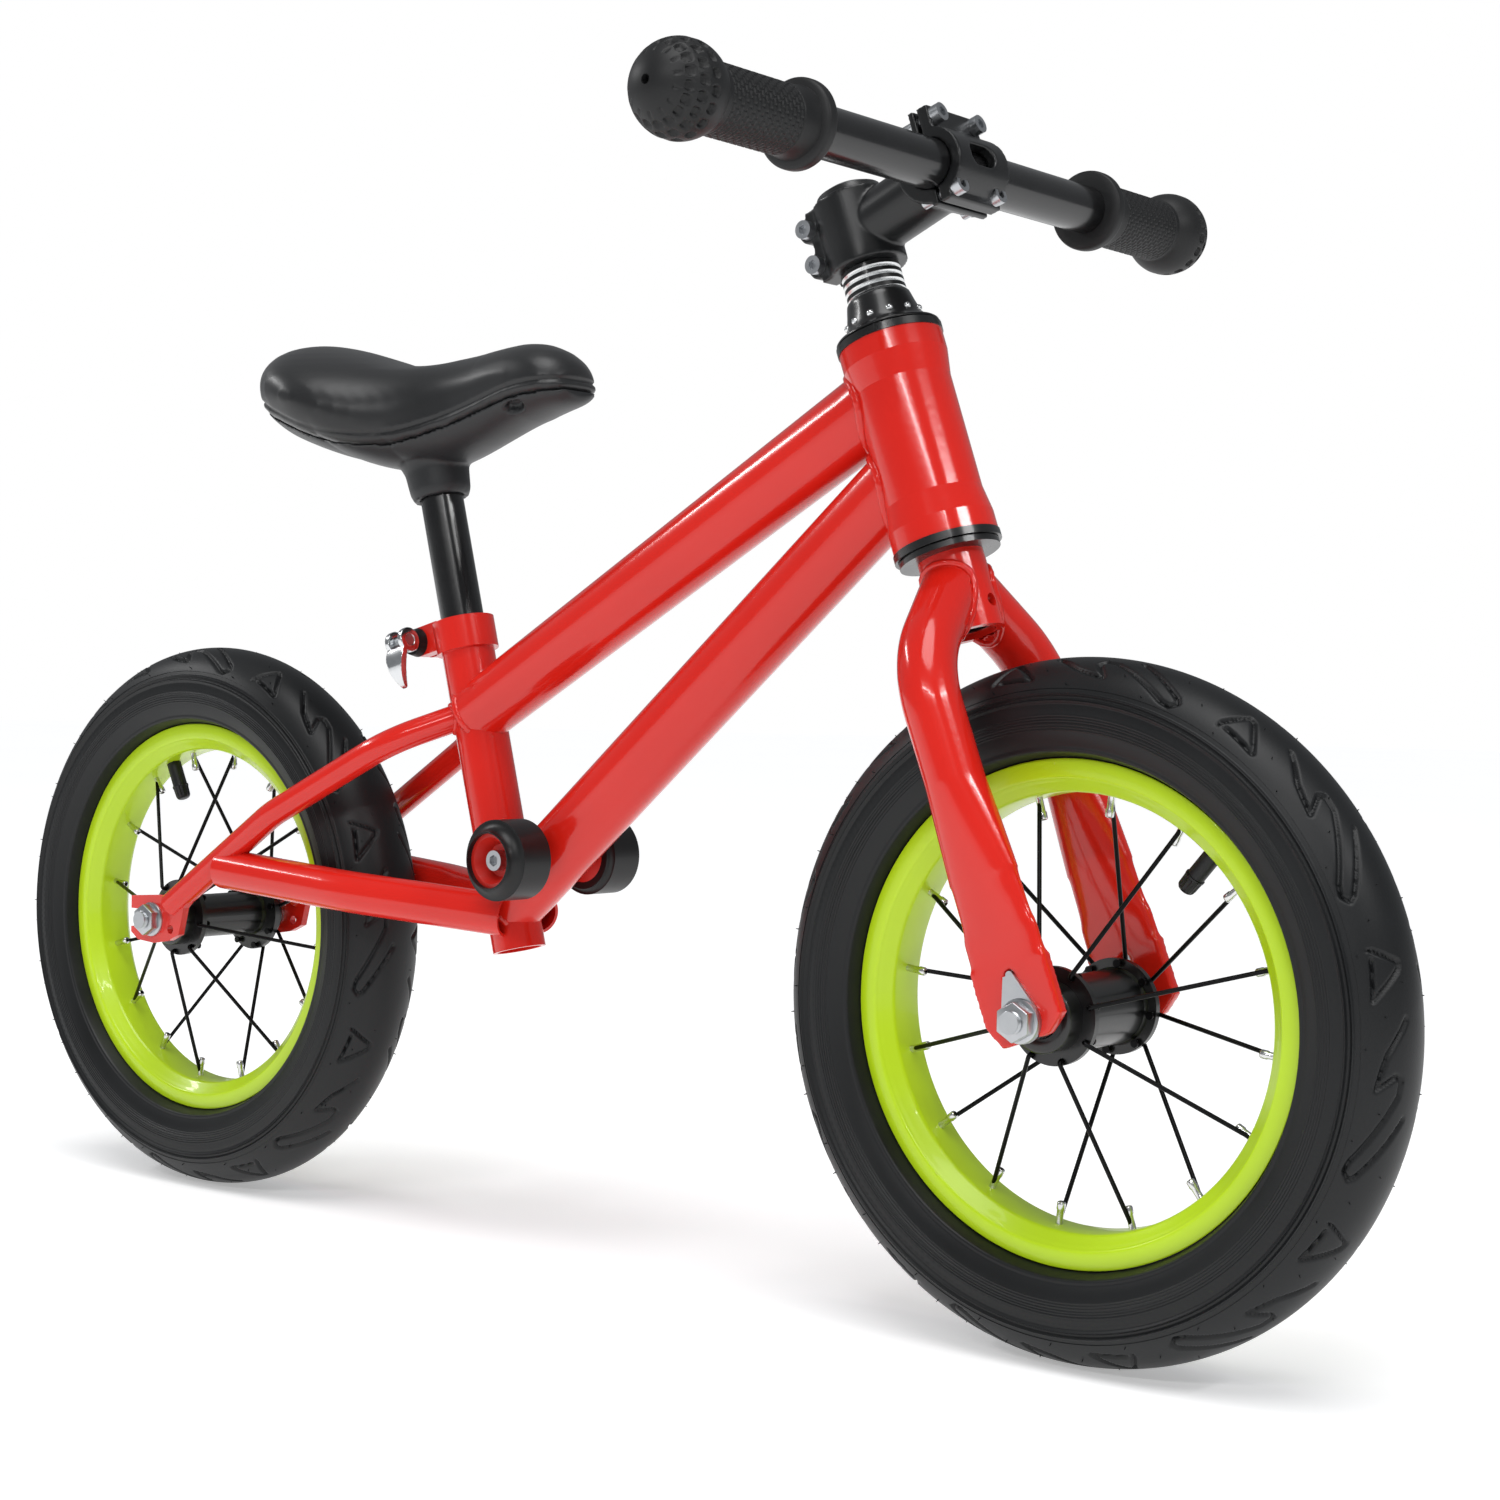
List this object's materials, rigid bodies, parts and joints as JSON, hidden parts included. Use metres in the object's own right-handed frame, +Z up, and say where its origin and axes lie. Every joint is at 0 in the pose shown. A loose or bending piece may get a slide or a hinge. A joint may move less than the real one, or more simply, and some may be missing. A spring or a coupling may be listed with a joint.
{
  "type": "balance bike",
  "caption": "Child's balance bike with a welded tube frame, spoked pneumatic wheels, threadless stem, padded saddle on a quick-clamp post and small foot rollers.",
  "frame": {"origin": "on the ground, midway between the two axles, in the bike's centre plane, with the steering straight ahead", "axes": "+X is forward, +Y is the rider's left, +Z is up"},
  "size_m": [0.8729, 0.415, 0.5431],
  "materials": {
    "red_paint": "gloss red powder coat",
    "lime_paint": "satin lime-yellow powder coat",
    "tyre_rubber": "matt black tyre rubber",
    "tube_rubber": "matt black butyl rubber",
    "black_plastic": "satin black moulded plastic",
    "saddle_base_plastic": "satin dark grey moulded plastic",
    "grip_rubber": "matt black soft rubber",
    "saddle_cover": "satin dark grey-black soft skin over foam",
    "roller_rubber": "matt black rubber",
    "roller_plastic": "red moulded plastic",
    "black_paint": "satin black powder coat",
    "spacer_metal": "black rings with bare bright chamfered edges",
    "black_spoke": "black steel wire",
    "bright_steel": "zinc-plated steel",
    "chrome_lever": "bright plated lever"
  },
  "bodies": {
    "frame": {"head_tube": "red_paint", "headset_cups": "black_paint", "seat_tube": "red_paint", "top_tube": "red_paint", "down_tube": "red_paint", "rear_dropouts": "red_paint", "seat_stays": "red_paint", "chain_stays": "red_paint", "roller_cross_tube": "red_paint", "roller_bolts": "bright_steel", "seat_clamp_collar": "red_paint", "clamp_washer": "black_plastic", "clamp_skewer": "bright_steel", "clamp_nut": "bright_steel", "rear_axle": "bright_steel", "rear_cones": "bright_steel", "rear_axle_nuts": "bright_steel"},
    "fork": {"fork_crown": "red_paint", "steerer_tube": "red_paint", "fork_blades": "red_paint", "retention_washers": "bright_steel", "crown_race": "bright_steel", "headset_balls": "bright_steel", "headset_cover": "black_paint", "headset_spacers": "spacer_metal", "stem_bolts": "bright_steel", "stem_body": "black_paint", "stem_faceplate": "black_paint", "stem_top_cap": "black_paint", "top_cap_bolt_and_star_nut": "bright_steel", "handlebar": "black_paint", "grip_right": "grip_rubber", "grip_left": "grip_rubber", "front_axle": "bright_steel", "front_cones": "bright_steel", "front_axle_nuts": "bright_steel"},
    "front_wheel": {"front_hub": "black_paint", "front_hub_balls": "bright_steel", "front_spokes": "black_spoke", "front_nipples": "bright_steel", "front_rim": "lime_paint", "front_tyre": "tyre_rubber", "front_inner_tube": "tube_rubber", "front_valve_cap": "black_plastic"},
    "rear_wheel": {"rear_hub": "black_paint", "rear_hub_balls": "bright_steel", "rear_spokes": "black_spoke", "rear_nipples": "bright_steel", "rear_rim": "lime_paint", "rear_tyre": "tyre_rubber", "rear_inner_tube": "tube_rubber", "rear_valve_cap": "black_plastic"},
    "seat_post": {"seat_post": "black_paint", "saddle_base": "saddle_base_plastic", "saddle_cover": "saddle_cover"},
    "clamp_lever": {"clamp_lever": "chrome_lever"},
    "roller_right": {"roller_core_right": "roller_plastic", "roller_tyre_right": "roller_rubber"},
    "roller_left": {"roller_core_left": "roller_plastic", "roller_tyre_left": "roller_rubber"}
  },
  "joints": [
    {"name": "steering", "type": "hinge", "parent": "frame", "child": "fork", "pos_m": [0.19282, 0, 0.39395], "axis": [-0.342, 0, 0.9397], "range_deg": [-90, 90]},
    {"name": "front_wheel_spin", "type": "hinge", "parent": "fork", "child": "front_wheel", "pos_m": [0.2855, 0, 0.151], "axis": [0, 1, 0], "continuous": true},
    {"name": "rear_wheel_spin", "type": "hinge", "parent": "frame", "child": "rear_wheel", "pos_m": [-0.2855, 0, 0.151], "axis": [0, 1, 0], "continuous": true},
    {"name": "saddle_height", "type": "slide", "parent": "frame", "child": "seat_post", "axis": [-0.2588, 0, 0.9659], "range_m": [-0.055, 0.05]},
    {"name": "lever_swing", "type": "hinge", "parent": "frame", "child": "clamp_lever", "pos_m": [-0.11806, -0.0195, 0.30548], "axis": [-0.9659, 0, -0.2588], "range_deg": [0, 170]},
    {"name": "roller_right_spin", "type": "hinge", "parent": "frame", "child": "roller_right", "pos_m": [-0.02592, 0, 0.19854], "axis": [0, 1, 0], "continuous": true},
    {"name": "roller_left_spin", "type": "hinge", "parent": "frame", "child": "roller_left", "pos_m": [-0.02592, 0, 0.19854], "axis": [0, 1, 0], "continuous": true}
  ]
}
